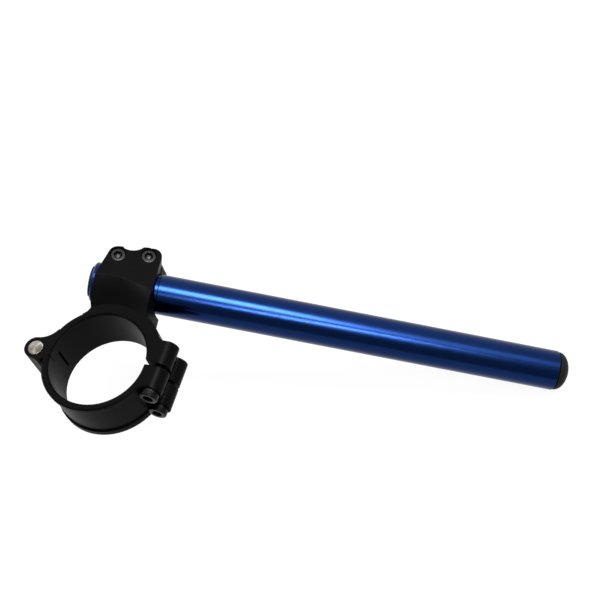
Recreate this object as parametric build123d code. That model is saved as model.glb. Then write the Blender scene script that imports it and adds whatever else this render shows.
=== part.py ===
"""Clip-on handlebar: a hinged clamp that grips one fork leg and carries one drooping bar.

The origin is the centre of the fork bore. +Z runs up the fork leg, +X points outboard along
the bar as seen from above, and +Y points from the fork leg to the bar. Millimetres and degrees.
"""

import math
import os

from build123d import *

# Fork ring
fork_diameter = 53.0
ring_height = 29.3
ring_wall = 3.9
flank_wall = 7.8
split_turn = 7.73
bore_chamfer = 1.0
rim_chamfer = 0.7

# Bar: its tube, the groove beside the clamp block and where it runs
bar_diameter = 22.2
bar_wall = 3.6
bar_droop = 17.7
bar_offset = 48.9
bar_height = 6.65
bar_inboard_length = 16.4
bar_outboard_length = 244.9
bar_end_chamfer = 0.9
groove_width = 3.0
groove_depth = 0.5
groove_edge = 0.3

# Clamp block round the bar, measured along the bar and above its axis
block_inboard = 14.2
block_outboard = 17.2
block_top = 14.8
block_wall = 3.0
ear_radius = 4.9
ear_dip_radius = 8.0
outer_ear_shift = 2.3
ear_setback = 3.1
slit_width = 1.8
slit_level = 4.9

# Neck between the ring and the block, and the sloping face above it
neck_left = 11.1
neck_right = 20.7
neck_bottom = -3.95
neck_left_fillet = 6.0
neck_right_fillet = 3.0
slope_foot_radius = 33.0
slope_crest_radius = 46.5

# Pinch screws through the block's ears
pinch_diameter = 5.0
pinch_head_diameter = 8.2
pinch_head_height = 5.0
pinch_length = 16.0
pinch_socket = 4.0
pinch_inset = 0.7
pinch_play = 0.2
pinch_inner_place = (-5.1, 11.6)
pinch_outer_place = (11.2, 14.3)

# Hinge: pin, knuckles and the curved partings beside them
pin_diameter = 6.0
pin_head_diameter = 8.7
pin_head_height = 2.4
pin_reach = 36.43
pin_inset = 0.2
pin_edge = 0.4
knuckle_radius = 6.1
knuckle_split = 7.45
knuckle_gap = 0.15
hinge_fillet = 12.0
body_hook_radius = 8.5
body_hook_edge = 0.6
cap_tongue_edge = 5.7
body_mid_edge = 7.1
parting_gap = 0.4
pin_clearance = 0.05

# Bosses and screws that close the ring, measured square to the split
screw_diameter = 6.0
screw_core_diameter = 5.3
screw_head_diameter = 10.0
screw_head_height = 6.0
screw_socket = 5.0
screw_stand_off = 6.4
boss_radius = 6.2
boss_chamfer = 0.8
boss_far = 16.8
boss_near = 10.9
boss_fillet = 4.0
flare_fillet = 7.0
seat_depth = 2.1
spot_diameter = 11.0
body_edge = 3.3
cap_edge = 1.3
parting_bevel = 1.0
thread_depth = 11.0
screw_clearance = 0.3

# Socket screws in general
screw_edge_share = 0.1
socket_depth_share = 0.5
pinch_neck_share = 0.5

# Recessed band round the cap
band_depth = 0.9
band_top_rim = 3.3
band_low_rim = 4.1
band_start = 221.7

# Plugs in the bar's two ends
plug_length = 6.9
plug_edge = 1.6
plug_inset = 0.3
plug_shank = 14.0
cover_length = 1.4
cover_inset = 2.6
cover_edge = 0.6

# Sizes worked out from the driving ones
fork_radius = fork_diameter / 2
ring_radius = fork_radius + ring_wall
half_height = ring_height / 2
bar_radius = bar_diameter / 2
tube_radius = bar_radius - bar_wall
housing_radius = bar_radius + block_wall
flank_radius = fork_radius + flank_wall
seat_start = block_outboard + groove_width
screw_reach = fork_radius + screw_stand_off
screw_level = half_height - boss_radius
reach = 4 * ring_radius
split = Rot(0, 0, -split_turn)
turn = math.radians(split_turn)
pin_place = (-pin_reach * math.cos(turn), pin_reach * math.sin(turn))
droop = math.radians(bar_droop)
along_bar = (math.cos(droop), 0, -math.sin(droop))
above_bar = (math.sin(droop), 0, math.cos(droop))
bar_origin = (0, bar_offset, bar_height)
bar_plane = Plane(origin=bar_origin, x_dir=(0, 1, 0), z_dir=along_bar)
block_plane = Plane(origin=bar_origin, x_dir=along_bar, z_dir=above_bar)
pinch_places = {"inner": pinch_inner_place, "outer": pinch_outer_place}
screw_levels = {"upper": screw_level, "lower": -screw_level}


def prism(plan, low, high):
    """Return a plan sketch carried up from one level to another."""
    return Pos(0, 0, low) * extrude(plan, amount=high - low)


def span(x_low, x_high, y_low, y_high):
    """Return a rectangle in plan between four limits."""
    return Polygon((x_low, y_low), (x_high, y_low), (x_high, y_high), (x_low, y_high), align=None)


def turned(points):
    """Return the solid that a profile of radius and height points sweeps round the Z axis."""
    return revolve(Plane.XZ * Polygon(*points, align=None), Axis.Z)


def on_bar(points):
    """Return the solid that a profile of radius and distance points sweeps round the bar's axis."""
    return bar_plane * turned(points)


def disc(place, radius):
    """Return a circle in plan."""
    return Pos(*place) * Circle(radius)


def fillet_near(plan, place, radius):
    """Return a plan with the corner nearest to a place rounded."""
    corner = plan.vertices().sort_by_distance((*place, 0))[0]
    return fillet(corner, radius)


def top_at(x):
    """Return the height of the block's top plane over a place along X."""
    return bar_height + (block_top - x * math.sin(droop)) / math.cos(droop)


def ring_blank():
    """Return the whole ring with chamfered rims."""
    return turned(
        [
            (fork_radius + bore_chamfer, half_height),
            (ring_radius - rim_chamfer, half_height),
            (ring_radius, half_height - rim_chamfer),
            (ring_radius, rim_chamfer - half_height),
            (ring_radius - rim_chamfer, -half_height),
            (fork_radius + bore_chamfer, -half_height),
            (fork_radius, bore_chamfer - half_height),
            (fork_radius, half_height - bore_chamfer),
        ]
    )


def fork_bore():
    """Return the fork bore with its chamfered mouths, as a solid to cut away."""
    mouth = fork_radius + 2 * bore_chamfer
    return turned(
        [
            (0, half_height + bore_chamfer),
            (mouth, half_height + bore_chamfer),
            (fork_radius, half_height - bore_chamfer),
            (fork_radius, bore_chamfer - half_height),
            (mouth, -half_height - bore_chamfer),
            (0, -half_height - bore_chamfer),
        ]
    )


def body_region():
    """Return the space on the block's side of the parting, with two hooks over the cap's tongue."""
    left = span(-reach, 0, body_mid_edge, reach) - disc(pin_place, knuckle_radius + parting_gap)
    right = split * span(-fork_radius / 2, reach, body_edge, reach)
    hook = span(-reach, 0, body_hook_edge, reach) + disc(pin_place, body_hook_radius)
    hook_low = knuckle_split + knuckle_gap
    whole = prism(left + right, -half_height, half_height)
    return whole + prism(hook, hook_low, half_height) + prism(hook, -half_height, -hook_low)


def cap_region():
    """Return the space on the cap's side of the parting, with one tongue between the hooks."""
    left = span(-reach, 0, -reach, body_hook_edge - parting_gap)
    left = left - disc(pin_place, body_hook_radius + parting_gap)
    right = split * span(-fork_radius / 2, reach, -reach, cap_edge)
    tongue = span(-reach, 0, -reach, cap_tongue_edge) + disc(pin_place, knuckle_radius)
    whole = prism(left + right, -half_height, half_height)
    return whole + prism(tongue, -knuckle_split, knuckle_split)


def rimmed(plan):
    """Return a plan carried over the ring's height, both its rims chamfered."""
    level = half_height - rim_chamfer
    top = Pos(0, 0, level) * extrude(plan, amount=rim_chamfer, taper=45)
    low = Pos(0, 0, -level) * extrude(plan, amount=-rim_chamfer, taper=45)
    return prism(plan, -level, level) + top + low


def boss_run(x_low, y_low, y_high):
    """Return the outline of two stacked bosses, carried square to the split over a distance."""
    root = span(x_low, screw_reach, -half_height, half_height)
    outline = root + [disc((screw_reach, level), boss_radius) for level in screw_levels.values()]
    return extrude(Plane.XZ.offset(-y_low) * outline, amount=y_low - y_high)


def boss_pair(y_low, y_high):
    """Return two rounded bosses with a groove between them, their outer end chamfered."""
    bosses = boss_run(fork_radius - ring_wall, y_low, y_high)
    ends = bosses.faces().sort_by(Axis.Y)
    end = ends[-1] if y_high == boss_far else ends[0]
    rim = end.edges().filter_by(lambda edge: edge.center().X > screw_reach)
    return split * chamfer(rim, boss_chamfer)


def boss_flank():
    """Return the thick flank between the neck and the body's bosses, filleted to them."""
    outer = screw_reach + boss_radius
    plan = Circle(flank_radius) + span(0, outer, 0, boss_far)
    corner = (math.sqrt(flank_radius**2 - boss_far**2), boss_far)
    plan = fillet_near(plan, corner, boss_fillet)
    sector = prism(span(neck_right / 2, outer, 0, reach), -half_height, half_height)
    return split * (rimmed(plan) & sector & boss_run(0, 0, reach))


def cap_flare(inset):
    """Return the cap's outline in plan, swept out to its bosses, less an inset all round."""
    radius = ring_radius - inset
    end = boss_near - inset
    plan = Circle(radius) + span(0, screw_reach + boss_radius, -end, 0)
    corner = (math.sqrt(radius**2 - end**2), -end)
    return fillet_near(plan, corner, flare_fillet + inset)


def neck_solid():
    """Return the neck that joins the ring to the block, its sides filleted to ring and flank."""
    plan = Circle(ring_radius) + (Circle(flank_radius) & span(0, reach, 0, reach))
    plan = plan + span(-neck_left, neck_right, 0, bar_offset)
    left_corner = (-neck_left, math.sqrt(ring_radius**2 - neck_left**2))
    right_corner = (neck_right, math.sqrt(flank_radius**2 - neck_right**2))
    plan = fillet_near(plan, left_corner, neck_left_fillet)
    plan = fillet_near(plan, right_corner, neck_right_fillet)
    plan = plan & span(-reach, reach, fork_radius, bar_offset)
    return prism(plan - Circle(ring_radius - rim_chamfer), neck_bottom, half_height)


def slope_cut():
    """Return the space over the sloping face, from the ring's top up to the block's top plane."""
    left = -neck_left - ring_wall
    right = neck_right + rim_chamfer

    def outline(radius, height_at):
        """Return a closed wire at the heights given, with one side an arc round the fork axis."""
        ends = [(x, math.sqrt(radius**2 - x**2), height_at(x)) for x in (right, left)]
        middle = (0, radius, height_at(0))
        corners = [(x, 0, height_at(x)) for x in (left, right)]
        sides = Polyline(ends[1], *corners, ends[0])
        return Face(Wire([Spline(ends[0], middle, ends[1]), *sides.edges()]))

    foot = outline(slope_foot_radius, lambda x: half_height)
    crest = outline(slope_crest_radius, top_at)
    return loft([foot, crest], ruled=True)


def eared(places, root):
    """Return an outline round two ears and a root, with a dip between the ears."""
    ears = [disc(place, ear_radius) for place in places]
    outline = make_hull((ears[0] + ears[1] + root).edges())
    inner, outer = (Vector(*place) for place in places)
    middle = (inner + outer) / 2
    half_pitch = (outer - inner).length / 2
    rise = math.sqrt((ear_radius + ear_dip_radius) ** 2 - half_pitch**2)
    outward = (outer - inner).normalized().rotate(Axis.Z, 90)
    dip = middle + outward * rise
    return outline - disc((dip.X, dip.Y), ear_dip_radius)


def block_solid():
    """Return the block over its level underside, cut by its tilted top plane, and the bar's housing."""
    shoulder = -housing_radius / 4
    inner, outer = pinch_places.values()
    places = [inner, (outer[0] + outer_ear_shift, outer[1])]
    square_root = span(-block_inboard, block_outboard, -housing_radius - rim_chamfer, shoulder)
    square = block_plane * prism(eared(places, square_root), -reach, block_top)
    lean = block_top * math.sin(droop)
    above = [(s * math.cos(droop) + lean, bar_offset + across) for s, across in places]
    above[1] = (above[1][0] - ear_setback, above[1][1])
    upright_root = Polygon(
        (-neck_left, slope_foot_radius - rim_chamfer),
        (neck_right, slope_foot_radius - rim_chamfer),
        (neck_right, bar_offset + shoulder),
        (lean - block_inboard * math.cos(droop), bar_offset + shoulder),
        align=None,
    )
    upright = prism(eared(above, upright_root), neck_bottom, reach)
    ridge = span(-neck_left, neck_right, 0, slope_foot_radius)
    upright = upright + prism(ridge, half_height - rim_chamfer, reach)
    below_top = block_plane * prism(span(-reach, reach, -reach, reach), -2 * reach, block_top)
    over_floor = prism(span(-reach, reach, -reach, reach), neck_bottom, reach)
    housing = bar_plane * prism(Circle(housing_radius), -block_inboard, block_outboard)
    return (upright & below_top) + (square & (over_floor + housing))


def hinge_plan():
    """Return the hinge's rounded lobe, with a hollow web to the ring on either side."""
    plan = disc(pin_place, knuckle_radius)
    distance = math.hypot(*pin_place)
    bearing = math.atan2(pin_place[1], pin_place[0])
    to_ring = ring_radius + hinge_fillet
    to_pin = knuckle_radius + hinge_fillet
    spread = math.acos((to_ring**2 + distance**2 - to_pin**2) / (2 * to_ring * distance))
    for side in (-1, 1):
        turn = bearing + side * spread
        hollow = (to_ring * math.cos(turn), to_ring * math.sin(turn))
        corners = (pin_place, hollow)[::side]
        plan += Polygon((0, 0), *corners, align=None) - disc(hollow, hinge_fillet)
    return plan - Circle(ring_radius - rim_chamfer)


def hooks():
    """Return the body's two hinge lobes, above and below the cap's tongue."""
    low = knuckle_split + knuckle_gap
    return prism(hinge_plan(), low, half_height) + prism(hinge_plan(), -half_height, -low)


def pin_hole(clearance):
    """Return the hinge pin's space with a clearance all round."""
    head_floor = half_height - pin_inset - pin_head_height
    shank = disc(pin_place, pin_diameter / 2 + clearance)
    head = disc(pin_place, pin_head_diameter / 2 + clearance)
    return prism(shank, -reach, head_floor) + prism(head, head_floor, reach)


def along_y(diameter, level, y_low, y_high):
    """Return a cylinder square to the split at one ring screw's place."""
    plane = Plane(origin=(screw_reach, y_low, level), z_dir=(0, 1, 0))
    return split * (plane * prism(Circle(diameter / 2), 0, y_high - y_low))


def above_block(diameter, place, low, high):
    """Return a cylinder square to the block's top plane at one pinch screw's place."""
    return block_plane * prism(disc(place, diameter / 2), low, high)


def parting_bevels(edge, side):
    """Return the wedge that bevels the bore's corner beside the right-hand parting."""
    inner = fork_radius - parting_bevel
    outer = fork_radius + parting_bevel
    back = edge + side * 2 * parting_bevel
    wedge = Polygon((inner, edge), (outer, edge), (inner, back), align=None)
    return split * prism(wedge, -reach, reach)


def clamp_body():
    """Return the main casting: half the ring, its hinge hooks and bosses, the neck and the block."""
    solid = ring_blank() + hooks() + boss_flank() + boss_pair(body_edge, boss_far)
    solid = solid & body_region()
    solid = solid + neck_solid() + block_solid()
    solid = solid - slope_cut() - fork_bore() - pin_hole(0) - parting_bevels(body_edge, 1)
    solid = solid - bar_plane * prism(Circle(bar_radius), -reach, reach)
    solid = solid - bar_plane * prism(Circle(housing_radius), seat_start - groove_edge, reach)
    slit = span(-reach, reach, 0, reach)
    solid = solid - block_plane * prism(slit, slit_level - slit_width / 2, slit_level + slit_width / 2)
    for level in screw_levels.values():
        solid = solid - along_y(screw_diameter, level, -reach, body_edge + thread_depth + screw_clearance)
    head_floor = block_top - pinch_inset - pinch_head_height
    for place in pinch_places.values():
        solid = solid - above_block(pinch_diameter + 2 * screw_clearance, place, -reach, reach)
        solid = solid - above_block(pinch_head_diameter + 2 * pinch_play, place, head_floor, reach)
    return solid


def hinged_cap():
    """Return the cap: the other half of the ring, its hinge tongue, bosses and recessed band."""
    flare = split * (rimmed(cap_flare(0)) & boss_run(-reach, -reach, reach))
    solid = flare + boss_pair(-boss_near, cap_edge) - band_cut()
    solid = solid + prism(hinge_plan(), -knuckle_split, knuckle_split)
    solid = solid & cap_region()
    solid = solid - fork_bore() - pin_hole(pin_clearance) - parting_bevels(cap_edge, -1)
    for level in screw_levels.values():
        solid = solid - along_y(screw_diameter + 2 * screw_clearance, level, -reach, reach)
        solid = solid - along_y(spot_diameter, level, -reach, seat_depth - boss_near)
    return solid


def band_cut():
    """Return the recessed band round the cap's wall, from the hinge to the screws' pockets."""
    band_top = half_height - band_top_rim
    band_low = band_low_rim - half_height
    start = math.radians(band_start)
    end = screw_reach - spot_diameter / 2
    sector = Polygon(
        (0, 0),
        (reach * math.cos(start), reach * math.sin(start)),
        (0, -reach),
        (end, -reach),
        (end, 0),
        align=None,
    )
    return split * prism(sector - cap_flare(band_depth), band_low, band_top)


def hinge_pin():
    """Return the headed hinge pin, flush with the upper hook."""
    head_top = half_height - pin_inset
    head_floor = head_top - pin_head_height
    shank_radius = pin_diameter / 2
    head_radius = pin_head_diameter / 2
    pin = turned(
        [
            (0, head_top),
            (head_radius - pin_edge, head_top),
            (head_radius, head_top - pin_edge),
            (head_radius, head_floor),
            (shank_radius, head_floor),
            (shank_radius, pin_edge - half_height),
            (shank_radius - pin_edge, -half_height),
            (0, -half_height),
        ]
    )
    return Pos(*pin_place) * pin


def socket_screw(core, length, neck, neck_length, head, head_height, socket):
    """Return a socket screw along Z, its seat at the origin, its head below and its core above."""
    edge = head_height * screw_edge_share
    body = turned(
        [
            (0, -head_height),
            (head / 2 - edge, -head_height),
            (head / 2, edge - head_height),
            (head / 2, 0),
            (neck / 2, 0),
            (neck / 2, neck_length),
            (core / 2, neck_length),
            (core / 2, length - edge),
            (core / 2 - edge, length),
            (0, length),
        ]
    )
    hexagon = RegularPolygon(socket / 2, 6, major_radius=False)
    return body - prism(hexagon, -head_height, -head_height * (1 - socket_depth_share))


def clamp_screw(level):
    """Return one ring screw, its head on the cap and its end in the body's tapped boss."""
    seat = seat_depth - boss_near
    grip = cap_edge - seat
    length = body_edge + thread_depth - seat
    screw = socket_screw(
        screw_core_diameter,
        length,
        screw_diameter,
        grip,
        screw_head_diameter,
        screw_head_height,
        screw_socket,
    )
    return split * (Plane(origin=(screw_reach, seat, level), z_dir=(0, 1, 0)) * screw)


def pinch_screw(place):
    """Return one pinch screw, sunk in the block's upper ear."""
    screw = socket_screw(
        pinch_diameter,
        pinch_length,
        pinch_diameter,
        pinch_length * pinch_neck_share,
        pinch_head_diameter,
        pinch_head_height,
        pinch_socket,
    )
    seat = block_top - pinch_inset - pinch_head_height
    return block_plane * Pos(*place, seat) * Rot(180, 0, 0) * screw


def bar_tube():
    """Return the bar: a tube with chamfered ends, a groove by the block and notches for the screws."""
    start = -bar_inboard_length
    end = bar_outboard_length
    groove_floor = bar_radius - groove_depth
    groove_start = block_outboard
    tube = on_bar(
        [
            (tube_radius, start),
            (bar_radius - bar_end_chamfer, start),
            (bar_radius, start + bar_end_chamfer),
            (bar_radius, groove_start),
            (groove_floor, groove_start),
            (groove_floor, seat_start - groove_edge),
            (bar_radius - groove_edge, seat_start - groove_edge),
            (bar_radius, seat_start),
            (bar_radius, end - bar_end_chamfer),
            (bar_radius - bar_end_chamfer, end),
            (tube_radius, end),
        ]
    )
    for place in pinch_places.values():
        tube = tube - above_block(pinch_diameter + 2 * screw_clearance, place, -reach, reach)
    return tube


def bar_end_plug():
    """Return the domed plug in the bar's outer end."""
    radius = bar_radius - plug_inset
    start = bar_outboard_length
    profile = Polyline(
        (0, start + plug_length),
        (0, start - plug_shank),
        (tube_radius - plug_edge, start - plug_shank),
        (tube_radius, start - plug_shank + plug_edge),
        (tube_radius, start),
        (radius, start),
        (radius, start + plug_edge),
    )
    rise = plug_length - plug_edge
    dome_radius = (radius**2 + rise**2) / (2 * rise)
    half_turn = math.asin(radius / dome_radius) / 2
    crown = start + plug_length - dome_radius
    halfway = (dome_radius * math.sin(half_turn), crown + dome_radius * math.cos(half_turn))
    dome = ThreePointArc((radius, start + plug_edge), halfway, (0, start + plug_length))
    face = make_face([*profile.edges(), *dome.edges()])
    return bar_plane * revolve(Plane.XZ * face, Axis.Z)


def inner_plug():
    """Return the flat cover in the bar's inner end."""
    radius = bar_radius - cover_inset
    start = -bar_inboard_length
    return on_bar(
        [
            (0, start - cover_length),
            (radius - cover_edge, start - cover_length),
            (radius, start - cover_length + cover_edge),
            (radius, start),
            (tube_radius, start),
            (tube_radius, start + plug_shank - plug_edge),
            (tube_radius - plug_edge, start + plug_shank),
            (0, start + plug_shank),
        ]
    )


pieces = {
    "clamp_body": clamp_body(),
    "hinged_cap": hinged_cap(),
    "hinge_pin": hinge_pin(),
    "bar_tube": bar_tube(),
    "bar_end_plug": bar_end_plug(),
    "inner_plug": inner_plug(),
}
for name, level in screw_levels.items():
    pieces[f"clamp_screw_{name}"] = clamp_screw(level)
for name, place in pinch_places.items():
    pieces[f"pinch_screw_{name}"] = pinch_screw(place)

os.makedirs("parts", exist_ok=True)
for name, piece in pieces.items():
    export_step(piece, f"parts/{name}.step")
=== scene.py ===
"""Looks of the clip-on handlebar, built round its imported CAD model.

The frame is the part's own: metres, the fork bore's centre at the origin, +Z up the fork leg
and +X outboard. Sizes are written in millimetres and turned into metres as meshes are made.
"""

from __future__ import annotations

import logging
import math
from dataclasses import dataclass
from enum import Enum

import bpy
import numpy as np
from mathutils import Matrix, Vector


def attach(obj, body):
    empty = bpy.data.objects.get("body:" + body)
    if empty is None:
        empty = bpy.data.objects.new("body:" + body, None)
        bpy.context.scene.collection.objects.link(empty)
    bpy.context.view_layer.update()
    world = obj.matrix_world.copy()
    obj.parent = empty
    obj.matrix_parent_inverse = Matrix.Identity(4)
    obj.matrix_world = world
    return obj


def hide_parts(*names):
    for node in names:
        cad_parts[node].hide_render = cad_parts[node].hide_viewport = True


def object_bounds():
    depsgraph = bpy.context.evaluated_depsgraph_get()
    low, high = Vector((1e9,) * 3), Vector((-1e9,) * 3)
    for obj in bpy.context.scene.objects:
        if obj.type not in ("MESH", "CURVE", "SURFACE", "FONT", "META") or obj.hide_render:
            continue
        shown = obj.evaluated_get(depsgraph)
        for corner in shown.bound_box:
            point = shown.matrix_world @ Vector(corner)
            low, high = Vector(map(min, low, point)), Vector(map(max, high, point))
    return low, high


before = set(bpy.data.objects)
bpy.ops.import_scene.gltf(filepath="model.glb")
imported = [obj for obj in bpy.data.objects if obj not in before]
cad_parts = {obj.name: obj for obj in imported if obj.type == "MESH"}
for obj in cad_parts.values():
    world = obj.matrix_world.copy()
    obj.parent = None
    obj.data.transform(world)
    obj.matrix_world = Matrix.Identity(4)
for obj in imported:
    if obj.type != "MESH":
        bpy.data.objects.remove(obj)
cad_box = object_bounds()

MM = 0.001
BAR_DROOP = math.radians(17.7)
BAR_OFFSET = 48.9
BAR_HEIGHT = 6.65
HINGE_PLACE = (-36.1, 4.9)
SHARP_EDGE = math.radians(32)
WHITE = (1, 1, 1, 1)
log = logging.getLogger("clip_on_bar")


class Body(Enum):
    """The two bodies that the hinge joins."""

    CLAMP = "clamp"
    CAP = "cap"


class Slot(Enum):
    """Names of finish slots; the turnings keep one, which nothing here reads."""

    PIN_STEEL = "pin_steel"
    SCREW_DARK = "screw_dark"
    PLUG_BLACK = "plug_black"


class Value:
    """A number socket whose operators add Math nodes to its own tree."""

    def __init__(self, tree: Tree, socket: bpy.types.NodeSocket) -> None:
        """Keep the tree and the socket."""
        self.tree = tree
        self.socket = socket

    def _math(self, operation: str, first: Value | float, second: Value | float) -> Value:
        """Add one Math node.

        Args:
            operation: The Math node's operation.
            first: Its first input.
            second: Its second input.

        Returns:
            The node's output.
        """
        return self.tree.value("ShaderNodeMath", {"operation": operation}, {0: first, 1: second})

    def __add__(self, other: Value | float) -> Value:
        """Return self + other."""
        return self._math("ADD", self, other)

    __radd__ = __add__

    def __sub__(self, other: Value | float) -> Value:
        """Return self - other."""
        return self._math("SUBTRACT", self, other)

    def __rsub__(self, other: Value | float) -> Value:
        """Return other - self."""
        return self._math("SUBTRACT", other, self)

    def __mul__(self, other: Value | float) -> Value:
        """Return self * other."""
        return self._math("MULTIPLY", self, other)

    __rmul__ = __mul__

    def sine(self) -> Value:
        """Return the sine of self."""
        return self._math("SINE", self, 0.0)

    def swing(self, width: float) -> Value:
        """Return a pattern between 0 and 1 as a swing of the given width about zero."""
        return (self - 0.5) * width

    def step(self, low: float, high: float) -> Value:
        """Return 0 below low and 1 above high, with a smooth rise between.

        Args:
            low: Where the rise starts.
            high: Where it ends.

        Returns:
            The mask.
        """
        settings = {"interpolation_type": "SMOOTHSTEP"}
        sockets = {"Value": self, "From Min": low, "From Max": high}
        return self.tree.value("ShaderNodeMapRange", settings, sockets)


class Tree:
    """A node tree that is written as expressions."""

    def __init__(self, node_tree: bpy.types.NodeTree) -> None:
        """Empty the tree and keep it.

        Args:
            node_tree: The tree of a material or of the world.
        """
        self.nodes = node_tree.nodes
        self.links = node_tree.links
        self.nodes.clear()

    def node(
        self,
        kind: str,
        settings: dict | None = None,
        sockets: dict | None = None,
    ) -> bpy.types.Node:
        """Add one node.

        Args:
            kind: The node's type.
            settings: Its own settings, set first.
            sockets: The value or link of each input, by name or number.

        Returns:
            The node.
        """
        made = self.nodes.new(kind)
        for name, setting in (settings or {}).items():
            setattr(made, name, setting)
        for name, source in (sockets or {}).items():
            if isinstance(source, Value):
                source = source.socket
            if isinstance(source, bpy.types.NodeSocket):
                self.links.new(source, made.inputs[name])
            else:
                made.inputs[name].default_value = source
        return made

    def value(
        self,
        kind: str,
        settings: dict | None = None,
        sockets: dict | None = None,
        output: int | str = 0,
    ) -> Value:
        """Add one node and wrap one of its outputs.

        Args:
            kind: The node's type.
            settings: Its own settings.
            sockets: The value or link of each input.
            output: The output to wrap.

        Returns:
            The output.
        """
        return Value(self, self.node(kind, settings, sockets).outputs[output])

    def place(
        self,
        turn: tuple = (0, 0, 0),
        shift: tuple = (0, 0, 0),
        scale: tuple = (1, 1, 1),
    ) -> bpy.types.NodeSocket:
        """Return Object coordinates, turned, shifted and scaled by a Mapping node.

        Args:
            turn: Rotation in radians.
            shift: Shift in metres.
            scale: Scale on each axis.

        Returns:
            The coordinates.
        """
        coordinates = self.node("ShaderNodeTexCoord").outputs["Object"]
        sockets = {"Vector": coordinates, "Location": shift, "Rotation": turn, "Scale": scale}
        return self.node("ShaderNodeMapping", None, sockets).outputs["Vector"]

    def noise(self, place: bpy.types.NodeSocket, scale: float, detail: float) -> Value:
        """Return a noise pattern between 0 and 1.

        Args:
            place: The coordinates that it follows.
            scale: Its scale per metre.
            detail: Its octaves.

        Returns:
            The pattern.
        """
        sockets = {"Vector": place, "Scale": scale, "Detail": detail}
        return self.value("ShaderNodeTexNoise", None, sockets)

    def mix(self, factor: Value, first: tuple, second: tuple) -> bpy.types.NodeSocket:
        """Return a blend of two colours.

        Args:
            factor: 0 for the first colour and 1 for the second.
            first: The first colour.
            second: The second colour.

        Returns:
            The blended colour.
        """
        sockets = {"Factor": factor, 6: first, 7: second}
        return self.node("ShaderNodeMix", {"data_type": "RGBA"}, sockets).outputs[2]

    def rounded(self, radius: float) -> bpy.types.NodeSocket:
        """Return a normal that rolls over sharp edges.

        Args:
            radius: The edge's radius in metres.

        Returns:
            The normal.
        """
        return self.node("ShaderNodeBevel", {"samples": 6}, {"Radius": radius}).outputs["Normal"]

    def edges(self, normal: bpy.types.NodeSocket, low: float, high: float) -> Value:
        """Return a mask of the edges that a rolled normal rounds.

        Args:
            normal: The rolled normal.
            low: Difference from the flat normal where the mask starts.
            high: Difference where it is full.

        Returns:
            The mask.
        """
        flat = self.node("ShaderNodeNewGeometry").outputs["Normal"]
        dot = {"operation": "DOT_PRODUCT"}
        same = self.value("ShaderNodeVectorMath", dot, {0: normal, 1: flat}, "Value")
        return (1.0 - same).step(low, high)

    def bump(
        self,
        height: Value,
        depth: float,
        normal: bpy.types.NodeSocket | None = None,
    ) -> bpy.types.NodeSocket:
        """Return a normal bent by a height pattern.

        Args:
            height: The pattern.
            depth: What one unit of it stands up, in metres.
            normal: The normal that it bends, or None for the surface's own.

        Returns:
            The bent normal.
        """
        sockets = {"Height": height, "Distance": depth}
        if normal is not None:
            sockets["Normal"] = normal
        return self.node("ShaderNodeBump", None, sockets).outputs["Normal"]

    def surface(self, sockets: dict) -> None:
        """Send a Principled shader to the output.

        Args:
            sockets: The value or link of each of its inputs.
        """
        shader = self.node("ShaderNodeBsdfPrincipled", None, sockets).outputs["BSDF"]
        self.node("ShaderNodeOutputMaterial", None, {"Surface": shader})


def new_material(name: str) -> tuple[bpy.types.Material, Tree]:
    """Return a new material and its empty tree.

    Args:
        name: The material's name.

    Returns:
        The material and its tree.
    """
    material = bpy.data.materials.new(name)
    material.use_nodes = True
    return material, Tree(material.node_tree)


@dataclass(frozen=True)
class SatinBlackAnodise:
    """Bead-blasted black anodise on machined aluminium, rubbed a little on its edges."""

    colour: tuple = (0.0015, 0.0015, 0.0016, 1)
    rubbed: tuple = (0.0050, 0.0050, 0.0053, 1)
    roughness: float = 0.33
    gloss: float = 0.036
    edge_radius: float = 0.3 * MM
    edge_span: tuple = (0.02, 0.25)
    rub_span: tuple = (0.35, 0.7)
    blast_scale: float = 5200.0
    blast_depth: float = 0.012 * MM
    blast_swing: float = 0.1
    cloud_scale: float = 60.0
    cloud_swing: float = 0.12

    def material(self) -> bpy.types.Material:
        """Make the finish: blast grain as bump, cloudy gloss and paler edges.

        Returns:
            The finish.
        """
        material, tree = new_material("satin_black_anodise")
        place = tree.place()
        rolled = tree.rounded(self.edge_radius)
        cloud = tree.noise(place, self.cloud_scale, detail=4.0)
        grain = tree.noise(place, self.blast_scale, detail=1.0)
        rub = tree.edges(rolled, *self.edge_span) * cloud.step(*self.rub_span)
        tree.surface(
            {
                "Base Color": tree.mix(rub, self.colour, self.rubbed),
                "Roughness": self.roughness + cloud.swing(self.cloud_swing) + grain.swing(self.blast_swing),
                "Specular IOR Level": self.gloss,
                "Normal": tree.bump(grain, self.blast_depth, rolled),
            }
        )
        return material


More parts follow.
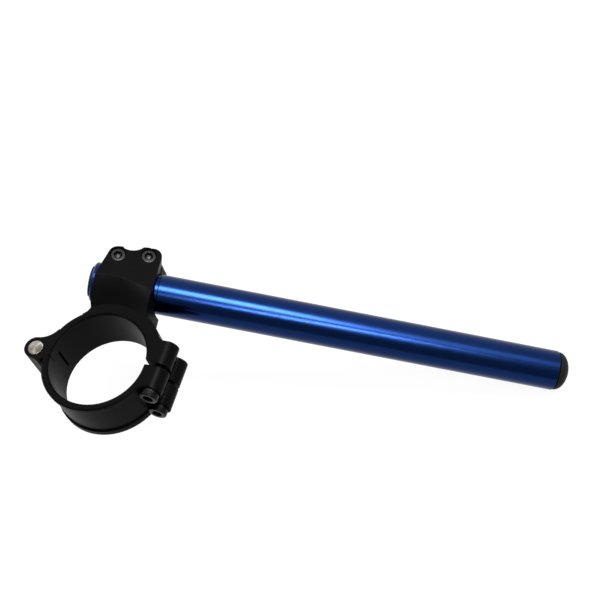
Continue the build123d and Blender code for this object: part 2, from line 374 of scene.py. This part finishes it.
@dataclass(frozen=True)
class BlueAnodise:
    """Blue anodise over a fine turned grain that runs round the bar."""

    colour: tuple = (0.0066, 0.0220, 0.098, 1)
    pale: tuple = (0.0086, 0.0275, 0.116, 1)
    roughness: float = 0.23
    droop: float = BAR_DROOP
    edge_radius: float = 0.2 * MM
    line_scale: float = 5200.0
    line_stretch: float = 0.02
    line_depth: float = 0.001 * MM
    line_share: float = 0.4
    line_swing: float = 0.05
    lines_per_band: float = 12.0
    band_swing: float = 0.06
    cloud_scale: float = 45.0
    cloud_share: float = 0.6

    def material(self) -> bpy.types.Material:
        """Make the finish: turning lines as bump and gloss, under a cloudy dye.

        Returns:
            The finish.
        """
        material, tree = new_material("blue_anodise")
        along = tree.place(turn=(0, -self.droop, 0), scale=(1, self.line_stretch, self.line_stretch))
        lines = tree.noise(along, self.line_scale, detail=2.0)
        bands = tree.noise(along, self.line_scale / self.lines_per_band, detail=2.0)
        cloud = tree.noise(tree.place(), self.cloud_scale, detail=3.0)
        dye = lines * self.line_share + cloud * self.cloud_share
        tree.surface(
            {
                "Base Color": tree.mix(dye, self.colour, self.pale),
                "Metallic": 1.0,
                "Roughness": self.roughness + bands.swing(self.band_swing) + lines.swing(self.line_swing),
                "Normal": tree.bump(lines, self.line_depth, tree.rounded(self.edge_radius)),
            }
        )
        return material


@dataclass(frozen=True)
class TurnedSteel:
    """Bright steel faced on a lathe, its rings round one upright axis."""

    centre: tuple = (HINGE_PLACE[0] * MM, HINGE_PLACE[1] * MM, 0.0)
    colour: tuple = (0.27, 0.25, 0.225, 1)
    tarnish: tuple = (0.18, 0.155, 0.125, 1)
    roughness: float = 0.34
    sheen: float = 0.85
    ring_pitch: float = 0.62 * MM
    ring_depth: float = 0.008 * MM
    patch_scale: float = 420.0
    patch_span: tuple = (0.4, 0.75)
    patch_swing: float = 0.2

    def material(self) -> bpy.types.Material:
        """Make the finish: rings as bump, with a warm tarnish in patches.

        The rings are a sine wave of the distance from the axis, raised to lie between 0 and 1.

        Returns:
            The finish.
        """
        material, tree = new_material("turned_steel")
        place = tree.place(shift=tuple(-x for x in self.centre))
        flat = tree.node("ShaderNodeVectorMath", {"operation": "MULTIPLY"}, {0: place, 1: (1, 1, 0)})
        length = {"operation": "LENGTH"}
        radius = tree.value("ShaderNodeVectorMath", length, {0: flat.outputs[0]}, "Value")
        rings = (radius * (math.tau / self.ring_pitch)).sine() * 0.5 + 0.5
        patches = tree.noise(place, self.patch_scale, detail=3.0)
        tree.surface(
            {
                "Base Color": tree.mix(patches.step(*self.patch_span), self.colour, self.tarnish),
                "Metallic": 1.0,
                "Roughness": self.roughness + patches.swing(self.patch_swing),
                "Anisotropic": self.sheen,
                "Normal": tree.bump(rings, self.ring_depth),
            }
        )
        return material


@dataclass(frozen=True)
class DarkScrewSteel:
    """Blackened screw steel, bright where the edges are worn."""

    name: str
    colour: tuple
    worn: tuple
    roughness: float = 0.34
    edge_radius: float = 0.12 * MM
    edge_span: tuple = (0.03, 0.3)
    wear_span: tuple = (0.3, 0.6)
    mottle_scale: float = 900.0
    mottle_depth: float = 0.004 * MM
    mottle_swing: float = 0.2

    def material(self) -> bpy.types.Material:
        """Make the finish: mottled oxide with worn edges.

        Returns:
            The finish.
        """
        material, tree = new_material(self.name)
        place = tree.place()
        rolled = tree.rounded(self.edge_radius)
        mottle = tree.noise(place, self.mottle_scale, detail=3.0)
        wear = tree.edges(rolled, *self.edge_span) * mottle.step(*self.wear_span)
        tree.surface(
            {
                "Base Color": tree.mix(wear, self.colour, self.worn),
                "Metallic": 1.0,
                "Roughness": self.roughness + mottle.swing(self.mottle_swing),
                "Normal": tree.bump(mottle, self.mottle_depth, rolled),
            }
        )
        return material


@dataclass(frozen=True)
class MattBlackPlastic:
    """Moulded matt plastic with a fine spark texture."""

    colour: tuple = (0.0045, 0.0045, 0.0043, 1)
    scuffed: tuple = (0.0090, 0.0090, 0.0086, 1)
    roughness: float = 0.55
    gloss: float = 0.12
    edge_radius: float = 0.3 * MM
    spark_scale: float = 3600.0
    spark_depth: float = 0.03 * MM
    spark_swing: float = 0.2
    scuff_scale: float = 240.0
    scuff_span: tuple = (0.5, 0.8)
    scuff_polish: float = 0.06

    def material(self) -> bpy.types.Material:
        """Make the finish: spark grain as bump under faint scuffs.

        Returns:
            The finish.
        """
        material, tree = new_material("matt_black_plastic")
        place = tree.place()
        spark = tree.noise(place, self.spark_scale, detail=2.0)
        scuff = tree.noise(place, self.scuff_scale, detail=4.0).step(*self.scuff_span)
        tree.surface(
            {
                "Base Color": tree.mix(scuff, self.colour, self.scuffed),
                "Roughness": self.roughness + spark.swing(self.spark_swing) - scuff * self.scuff_polish,
                "Specular IOR Level": self.gloss,
                "Normal": tree.bump(spark, self.spark_depth, tree.rounded(self.edge_radius)),
            }
        )
        return material


@dataclass(frozen=True)
class Seat:
    """A place in the frame: an origin in millimetres and the directions of its own X and Z."""

    origin: tuple
    x_dir: tuple
    z_dir: tuple

    def put(self, points: np.ndarray) -> np.ndarray:
        """Carry points of this place into the frame.

        Args:
            points: Points in millimetres on the place's own axes, in the last axis of the array.

        Returns:
            The points in metres in the frame.
        """
        z = np.asarray(self.z_dir, float)
        x = np.asarray(self.x_dir, float)
        axes = np.stack([x, np.cross(z, x), z])
        return (np.asarray(self.origin, float) + points @ axes) * MM


def turned_grid(radius: np.ndarray, height: np.ndarray) -> np.ndarray:
    """Return the points (r cos a, r sin a, h) of a surface that goes round Z.

    Args:
        radius: Radius by row and by angle.
        height: Height by row.

    Returns:
        Points by row, angle and axis.
    """
    angle = np.arange(radius.shape[1]) * (math.tau / radius.shape[1])
    level = np.broadcast_to(height[:, None], radius.shape)
    return np.stack([radius * np.cos(angle), radius * np.sin(angle), level], axis=-1)


def closed_mesh(name: str, grid: np.ndarray) -> bpy.types.Object:
    """Make an object of a grid that closes round its columns and ends in two poles.

    The first and last rows become one vertex each, with a fan of triangles; between the other
    rows each four neighbours make a quad. Faces are turned round if the volume comes out negative.

    Args:
        name: The object's name.
        grid: Points by row, column and axis, in metres.

    Returns:
        The object, linked to the scene.
    """
    rows, columns = grid.shape[0] - 2, grid.shape[1]
    points = np.concatenate([grid[:1, 0], grid[1:-1].reshape(-1, 3), grid[-1:, 0]])
    ring = 1 + np.arange(rows * columns).reshape(rows, columns)
    after = np.roll(ring, -1, axis=1)
    quads = np.stack([ring[:-1], ring[1:], after[1:], after[:-1]], axis=-1).reshape(-1, 4)
    last = len(points) - 1
    first_fan = np.stack([np.zeros(columns, int), ring[0], after[0]], axis=-1)
    last_fan = np.stack([np.full(columns, last), after[-1], ring[-1]], axis=-1)
    corners = np.concatenate([quads[:, [0, 1, 2]], quads[:, [0, 2, 3]], first_fan, last_fan])
    a, b, c = (points[corners[:, k]] for k in range(3))
    turn = 1 if np.einsum("ij,ij->", a, np.cross(b, c)) > 0 else -1
    faces = quads[:, ::turn].tolist() + first_fan[:, ::turn].tolist() + last_fan[:, ::turn].tolist()
    mesh = bpy.data.meshes.new(name)
    mesh.from_pydata(points.tolist(), [], faces)
    mesh.shade_smooth()
    mesh.set_sharp_from_angle(angle=SHARP_EDGE)
    mesh.update()
    made = bpy.data.objects.new(name, mesh)
    bpy.context.scene.collection.objects.link(made)
    return made


def dress(piece: bpy.types.Object, material: bpy.types.Material) -> None:
    """Give a piece one finish all over.

    Args:
        piece: The piece, new or a CAD node.
        material: The finish.
    """
    if not piece.material_slots:
        piece.data.materials.append(material)
    for slot in piece.material_slots:
        slot.link = "OBJECT"
        slot.material = material
    log.info("%s is finished in %s", piece.name, material.name)


def stand_for(piece: bpy.types.Object, node: str, body: Body) -> None:
    """Let a new piece take a CAD node's place.

    Args:
        piece: The new piece.
        node: The node that it replaces.
        body: The body that it rides on.
    """
    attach(piece, body.value)
    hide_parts(node)
    log.info("%s replaces %s on %s, %d faces", piece.name, node, body.value, len(piece.data.polygons))


@dataclass
class SocketScrew:
    """A socket-head screw: ribbed head, hexagon socket and cut thread. Sizes in millimetres.

    The socket's floor, drill and point lie at shares of the head's height above its seat, and the
    rim's points are shares of the edge, inwards and down.
    """

    name: str
    node: str
    body: Body
    seat: Seat
    head_diameter: float
    head_height: float
    socket: float
    neck_diameter: float
    neck_length: float
    thread_diameter: float
    thread_core: float
    thread_pitch: float
    length: float
    edge: float = 0.55
    rim_points: tuple = ((0.6, 0.12), (0.2, 0.5))
    rim_inset: float = 0.02
    face_margin: float = 0.1
    mouth_margin: float = 0.12
    mouth_depth: float = 0.32
    floor_share: float = 0.5
    drill_share: float = 0.47
    drill_width: float = 0.84
    point_share: float = 0.26
    ribs: int = 36
    rib_depth: float = 0.16
    rib_run_in: float = 0.25
    rib_run_out: float = 0.45
    collar: float = 0.2
    collar_break: float = 0.05
    end_chamfer: float = 0.4
    columns: int = 144
    rows_per_pitch: int = 6

    def hexagon(self) -> np.ndarray:
        """Work out the socket's hexagon: its apothem over the cosine from the nearest flat.

        Returns:
            The radius at each column.
        """
        angle = np.arange(self.columns) * (math.tau / self.columns)
        from_flat = np.mod(angle, math.tau / 6) - math.tau / 12
        return self.socket / 2 / np.cos(from_flat)

    def head_rows(self) -> tuple[np.ndarray, np.ndarray]:
        """Work out the head, from the socket's floor out to the seat and down the neck.

        Each row is a circle, the socket's hexagon, or a circle less the ribs, which are a cosine
        wave round the head.

        Returns:
            The radius and height rows.
        """
        top = -self.head_height
        radius = self.head_diameter / 2
        neck = self.neck_diameter / 2
        mouth = self.socket / math.sqrt(3) + self.mouth_margin
        angle = np.arange(self.columns) * (math.tau / self.columns)
        rib = self.rib_depth * (0.5 - 0.5 * np.cos(self.ribs * angle))
        circle = np.ones(self.columns)
        hexagon = self.hexagon()
        rim = [
            ((radius - inward * self.edge) * circle, top + down * self.edge)
            for inward, down in self.rim_points
        ]
        rows = [
            (0 * circle, top * self.point_share),
            (hexagon * self.drill_width, top * self.drill_share),
            (hexagon, top * self.floor_share),
            (hexagon, top + self.mouth_depth),
            (mouth * circle, top),
            ((radius - self.edge - self.face_margin) * circle, top),
            *rim,
            ((radius - self.rim_inset) * circle, top + self.edge),
            (radius - rib, top + self.edge + self.rib_run_in),
            (radius - rib, -self.rib_run_out),
            (radius * circle, -self.collar),
            ((radius - self.collar_break) * circle, 0.0),
            (neck * circle, 0.0),
            (neck * circle, self.neck_length),
        ]
        return np.stack([row for row, _ in rows]), np.array([level for _, level in rows])

    def thread_rows(self) -> tuple[np.ndarray, np.ndarray]:
        """Work out the thread and the screw's end.

        The radius swings between core and crest as a triangle wave of height over pitch less the
        part of a turn, which makes one helix, and fades out at both ends.

        Returns:
            The radius and height rows.
        """
        start = self.neck_length
        stop = self.length - self.edge
        steps = int((stop - start) / self.thread_pitch * self.rows_per_pitch)
        level = np.linspace(start, stop, steps + 1)[1:]
        part = np.arange(self.columns) / self.columns
        phase = np.mod(level[:, None] / self.thread_pitch - part[None, :], 1.0)
        crest = 1.0 - np.abs(2.0 * phase - 1.0)
        fade = np.minimum(1.0, np.minimum(level - start, stop - level) / self.thread_pitch)
        depth = (self.thread_diameter - self.thread_core) / 2
        radius = self.thread_core / 2 + depth * crest * fade[:, None]
        end = np.full((2, self.columns), self.thread_core / 2 - self.end_chamfer)
        end[1] = 0.0
        return np.concatenate([radius, end]), np.concatenate([level, [self.length, self.length]])

    def build(self, material: bpy.types.Material) -> None:
        """Build the screw in its place and dress it.

        Args:
            material: Its finish.
        """
        head_radius, head_level = self.head_rows()
        thread_radius, thread_level = self.thread_rows()
        radius = np.concatenate([head_radius, thread_radius])
        level = np.concatenate([head_level, thread_level])
        screw = closed_mesh(self.name, self.seat.put(turned_grid(radius, level)))
        dress(screw, material)
        stand_for(screw, self.node, self.body)


@dataclass
class Turning:
    """A piece turned on a lathe: a profile of radius and height carried once round its axis."""

    name: str
    node: str
    body: Body
    slot: Slot
    seat: Seat
    profile: list
    columns: int = 128

    def build(self, material: bpy.types.Material) -> None:
        """Build the turning in its place and dress it.

        Args:
            material: Its finish.
        """
        radius, level = np.array(self.profile, float).T
        rows = np.repeat(radius[:, None], self.columns, axis=1)
        piece = closed_mesh(self.name, self.seat.put(turned_grid(rows, level)))
        dress(piece, material)
        stand_for(piece, self.node, self.body)


@dataclass
class BarAssembly:
    """The drooping bar with the plugs in its two ends. Sizes in millimetres and radians."""

    droop: float = BAR_DROOP
    offset: float = BAR_OFFSET
    height: float = BAR_HEIGHT
    radius: float = 11.1
    bore: float = 7.5
    inner_end: float = -16.4
    outer_end: float = 244.9
    plug_length: float = 6.7
    plug_edge: float = 1.6
    plug_inset: float = 0.5
    dome_foot: float = 0.25
    dome_rows: int = 24
    shank: float = 14.0
    cover_length: float = 1.4
    cover_inset: float = 2.6
    cover_edge: float = 0.6
    cover_rows: int = 7

    def seat(self) -> Seat:
        """Return the bar's own place, its Z along the bar."""
        along = (math.cos(self.droop), 0, -math.sin(self.droop))
        return Seat((0, self.offset, self.height), (0, 1, 0), along)

    def plug_profile(self) -> list:
        """Work out the outer plug, its dome a quarter of an ellipse from rim to crown.

        Returns:
            The profile's radius and height at each point.
        """
        radius = self.radius - self.plug_inset
        start = self.outer_end
        turn = np.linspace(0, math.pi / 2, self.dome_rows)[1:]
        rise = self.plug_length - self.dome_foot
        arc = np.stack([radius * np.cos(turn), start + self.dome_foot + rise * np.sin(turn)], axis=-1)
        arc[-1, 0] = 0.0
        body = [
            (0, start - self.shank),
            (self.bore - self.plug_edge, start - self.shank),
            (self.bore, start - self.shank + self.plug_edge),
            (self.bore, start),
            (radius - self.dome_foot, start),
            (radius, start + self.dome_foot),
        ]
        return body + arc.tolist()

    def cover_profile(self) -> list:
        """Work out the inner cover, flat with a quarter circle for its rim.

        Returns:
            The profile's radius and height at each point.
        """
        radius = self.radius - self.cover_inset
        start = self.inner_end
        turn = np.linspace(0, math.pi / 2, self.cover_rows)
        rim_radius = radius - self.cover_edge + self.cover_edge * np.sin(turn)
        rim_level = start - self.cover_length + self.cover_edge - self.cover_edge * np.cos(turn)
        body = [
            (radius, start),
            (self.bore, start),
            (self.bore, start + self.shank - self.plug_edge),
            (self.bore - self.plug_edge, start + self.shank),
            (0, start + self.shank),
        ]
        return [(0, start - self.cover_length)] + np.stack([rim_radius, rim_level], axis=-1).tolist() + body

    def build(self) -> None:
        """Dress the bar and build its plugs."""
        dress(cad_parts["bar_tube"], BlueAnodise(droop=self.droop).material())
        plastic = MattBlackPlastic().material()
        for name, node, profile in (
            ("bar_end_cap", "bar_end_plug", self.plug_profile()),
            ("inner_end_cover", "inner_plug", self.cover_profile()),
        ):
            Turning(name, node, Body.CLAMP, Slot.PLUG_BLACK, self.seat(), profile).build(plastic)


@dataclass
class HingedClamp:
    """The split ring: its body and cap, the hinge pin and the four screws.

    Sizes in millimetres and radians. The pin's roll is a share of its edge.
    """

    half_height: float = 14.65
    pin_place: tuple = HINGE_PLACE
    pin_head: float = 8.7
    pin_head_height: float = 2.4
    pin_shank: float = 6.0
    pin_inset: float = 0.2
    pin_edge: float = 0.4
    pin_roll: float = 0.3
    pin_centre: float = 0.6
    split_turn: float = math.radians(7.73)
    screw_reach: float = 32.9
    screw_level: float = 8.45
    screw_seat: float = -8.8
    droop: float = BAR_DROOP
    bar_offset: float = BAR_OFFSET
    bar_height: float = BAR_HEIGHT
    pinch_seat: float = 9.1
    pinch_places: tuple = ((-5.1, 11.6), (11.2, 14.3))

    def pin_profile(self) -> list:
        """Work out the hinge pin, its head with a rolled edge.

        Returns:
            The profile's radius and height at each point.
        """
        top = self.half_height - self.pin_inset
        head = self.pin_head / 2
        shank = self.pin_shank / 2
        roll = self.pin_roll * self.pin_edge
        return [
            (0, top),
            (self.pin_centre, top),
            (head - self.pin_edge, top),
            (head - roll, top - roll),
            (head, top - self.pin_edge),
            (head, top - self.pin_head_height),
            (shank, top - self.pin_head_height),
            (shank, self.pin_edge - self.half_height),
            (shank - self.pin_edge, -self.half_height),
            (0, -self.half_height),
        ]

    def ring_screws(self) -> list[SocketScrew]:
        """Lay out the two screws that close the ring, their heads on the cap.

        Returns:
            The screws.
        """
        outward = np.array([math.cos(self.split_turn), -math.sin(self.split_turn), 0])
        across = np.array([math.sin(self.split_turn), math.cos(self.split_turn), 0])
        foot = self.screw_reach * outward + self.screw_seat * across
        screws = []
        for name, level in (("upper", self.screw_level), ("lower", -self.screw_level)):
            screws.append(
                SocketScrew(
                    name=f"ring_screw_{name}",
                    node=f"clamp_screw_{name}",
                    body=Body.CAP,
                    seat=Seat((foot[0], foot[1], level), tuple(outward), tuple(across)),
                    head_diameter=10.0,
                    head_height=6.0,
                    socket=5.0,
                    neck_diameter=6.0,
                    neck_length=10.1,
                    thread_diameter=5.9,
                    thread_core=5.0,
                    thread_pitch=1.0,
                    length=23.1,
                )
            )
        return screws

    def pinch_screws(self) -> list[SocketScrew]:
        """Lay out the two screws that close the block on the bar.

        Returns:
            The screws.
        """
        along = np.array([math.cos(self.droop), 0, -math.sin(self.droop)])
        above = np.array([math.sin(self.droop), 0, math.cos(self.droop)])
        screws = []
        for name, (distance, across) in zip(("inner", "outer"), self.pinch_places):
            origin = np.array([0, self.bar_offset + across, self.bar_height])
            origin = origin + distance * along + self.pinch_seat * above
            screws.append(
                SocketScrew(
                    name=f"block_screw_{name}",
                    node=f"pinch_screw_{name}",
                    body=Body.CLAMP,
                    seat=Seat(tuple(origin), tuple(along), tuple(-above)),
                    head_diameter=8.2,
                    head_height=5.0,
                    socket=4.0,
                    neck_diameter=5.0,
                    neck_length=8.0,
                    thread_diameter=4.9,
                    thread_core=4.1,
                    thread_pitch=0.8,
                    length=16.0,
                    edge=0.5,
                )
            )
        return screws

    def build(self) -> None:
        """Dress the body and the cap, and build the pin and the screws."""
        black = SatinBlackAnodise().material()
        for node in ("clamp_body", "hinged_cap"):
            dress(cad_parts[node], black)
        seat = Seat((*self.pin_place, 0), (1, 0, 0), (0, 0, 1))
        pin = Turning("turned_hinge_pin", "hinge_pin", Body.CLAMP, Slot.PIN_STEEL, seat, self.pin_profile())
        pin.build(TurnedSteel().material())
        oxide = DarkScrewSteel(
            name="oxide_screw_steel",
            colour=(0.010, 0.010, 0.0105, 1),
            worn=(0.050, 0.048, 0.046, 1),
        )
        worn = DarkScrewSteel(
            name="worn_screw_steel",
            colour=(0.030, 0.030, 0.031, 1),
            worn=(0.20, 0.19, 0.18, 1),
        )
        for finish, screws in ((oxide, self.ring_screws()), (worn, self.pinch_screws())):
            material = finish.material()
            for screw in screws:
                screw.build(material)


@dataclass(frozen=True)
class SoftBox:
    """A soft rectangular lamp, its place and sides in metres and its power in watts."""

    name: str
    place: tuple
    sides: tuple
    watts: float

    def hang(self, aim: tuple) -> None:
        """Hang the lamp so that it faces a point.

        Args:
            aim: The point, in metres.
        """
        data = bpy.data.lights.new(self.name, "AREA")
        data.shape = "RECTANGLE"
        data.size, data.size_y = self.sides
        data.energy = self.watts
        made = bpy.data.objects.new(self.name, data)
        away = (Vector(self.place) - Vector(aim)).to_track_quat("Z", "Y")
        made.matrix_world = Matrix.Translation(self.place) @ away.to_matrix().to_4x4()
        bpy.context.scene.collection.objects.link(made)


@dataclass
class Studio:
    """The camera at the photograph's place, a pale floor, a white surround and soft lamps.

    The eye is in millimetres, the floor and the aim in metres. Spans of the surround are parts of
    a ray's direction, and its other values are strengths and shares of them.
    """

    eye: tuple = (221.11, -239.62, 461.15)
    right: tuple = (0.97520, 0.14101, -0.17057)
    down: tuple = (0.02860, -0.84456, -0.53469)
    lens: float = 62.62
    sensor: float = 36.0
    near: float = 0.01
    floor_drop: float = 0.0006
    floor_size: float = 14.0
    floor_colour: tuple = (0.86, 0.86, 0.86, 1)
    floor_glow: float = 0.8
    glow_share: float = 0.92
    room_dim: float = 0.30
    room_pale: float = 0.80
    behind_span: tuple = (0.05, 0.45)
    outboard_span: tuple = (0.25, 0.65)
    outboard_fall: float = 0.4
    inboard_span: tuple = (-0.50, -0.30)
    inboard_rise: float = 1.2
    aim: tuple = (0.06, 0.04, 0.0)
    lamps: tuple = (
        SoftBox("overhead_box", (0.36, 0.165, 1.05), (0.36, 0.33), 14.0),
        SoftBox("outboard_box", (0.76, 0.165, 0.95), (0.45, 0.34), 1.2),
        SoftBox("strip_box", (0.48, -0.36, 0.95), (0.42, 0.045), 6.5),
        SoftBox("side_box", (-0.95, -0.55, 0.75), (0.5, 0.5), 3.0),
    )

    def camera(self) -> None:
        """Make the camera and hand it to the scene."""
        data = bpy.data.cameras.new("photo_camera")
        data.sensor_width = self.sensor
        data.lens = self.lens
        data.clip_start = self.near
        right = Vector(self.right).normalized()
        up = -Vector(self.down)
        back = right.cross(up).normalized()
        up = back.cross(right)
        made = bpy.data.objects.new("photo_camera", data)
        turn = Matrix((right, up, back)).transposed().to_4x4()
        made.matrix_world = Matrix.Translation(Vector(self.eye) * MM) @ turn
        bpy.context.scene.collection.objects.link(made)
        bpy.context.scene.camera = made

    def floor(self) -> None:
        """Make the pale floor: white to the camera, a little dimmer to reflections, with a soft shadow."""
        half = self.floor_size / 2
        level = cad_box[0][2] - self.floor_drop
        mesh = bpy.data.meshes.new("pale_floor")
        corners = [(-half, -half, level), (half, -half, level), (half, half, level), (-half, half, level)]
        mesh.from_pydata(corners, [], [(0, 1, 2, 3)])
        floor = bpy.data.objects.new("pale_floor", mesh)
        bpy.context.scene.collection.objects.link(floor)
        material, tree = new_material("pale_floor")
        path = tree.node("ShaderNodeLightPath")
        camera = Value(tree, path.outputs["Is Camera Ray"])
        seen = camera + Value(tree, path.outputs["Is Glossy Ray"])
        seen = (seen + Value(tree, path.outputs["Is Transmission Ray"])).step(0.0, 1.0)
        strength = self.floor_glow + (1.0 - self.floor_glow) * camera
        matt = tree.node("ShaderNodeBsdfDiffuse", None, {"Color": self.floor_colour}).outputs[0]
        glow = tree.node("ShaderNodeEmission", None, {"Color": WHITE, "Strength": strength}).outputs[0]
        layers = {0: seen * self.glow_share, 1: matt, 2: glow}
        shader = tree.node("ShaderNodeMixShader", None, layers).outputs[0]
        tree.node("ShaderNodeOutputMaterial", None, {"Surface": shader})
        mesh.materials.append(material)

    def surround(self) -> None:
        """Make the world: white to the camera, and to other rays a dim room, paler behind the part.

        The pale wall behind falls off outboard and is brightest far inboard.
        """
        world = bpy.data.worlds.new("white_surround")
        bpy.context.scene.world = world
        world.use_nodes = True
        tree = Tree(world.node_tree)
        path = tree.node("ShaderNodeLightPath")
        camera = Value(tree, path.outputs["Is Camera Ray"])
        ray = tree.node("ShaderNodeTexCoord").outputs["Generated"]
        parts = tree.node("ShaderNodeSeparateXYZ", None, {0: ray})
        behind = Value(tree, parts.outputs["Y"])
        outboard = Value(tree, parts.outputs["X"])
        inboard = 1.0 - outboard.step(*self.inboard_span)
        side = 1.0 - self.outboard_fall * outboard.step(*self.outboard_span) + self.inboard_rise * inboard
        room = self.room_dim + self.room_pale * behind.step(*self.behind_span) * side
        strength = camera + (1.0 - camera) * room
        sky = tree.node("ShaderNodeBackground", None, {"Color": WHITE, "Strength": strength}).outputs[0]
        tree.node("ShaderNodeOutputWorld", None, {"Surface": sky})

    def build(self) -> None:
        """Make the camera, the floor, the surround and the lamps, and set the plain view."""
        bpy.context.scene.view_settings.view_transform = "Standard"
        self.camera()
        self.floor()
        self.surround()
        for lamp in self.lamps:
            lamp.hang(self.aim)


def main() -> None:
    """Build the sub-assemblies and the studio."""
    logging.basicConfig(level=logging.INFO, format="%(name)s: %(message)s")
    HingedClamp().build()
    BarAssembly().build()
    Studio().build()


if __name__ == "__main__":
    main()
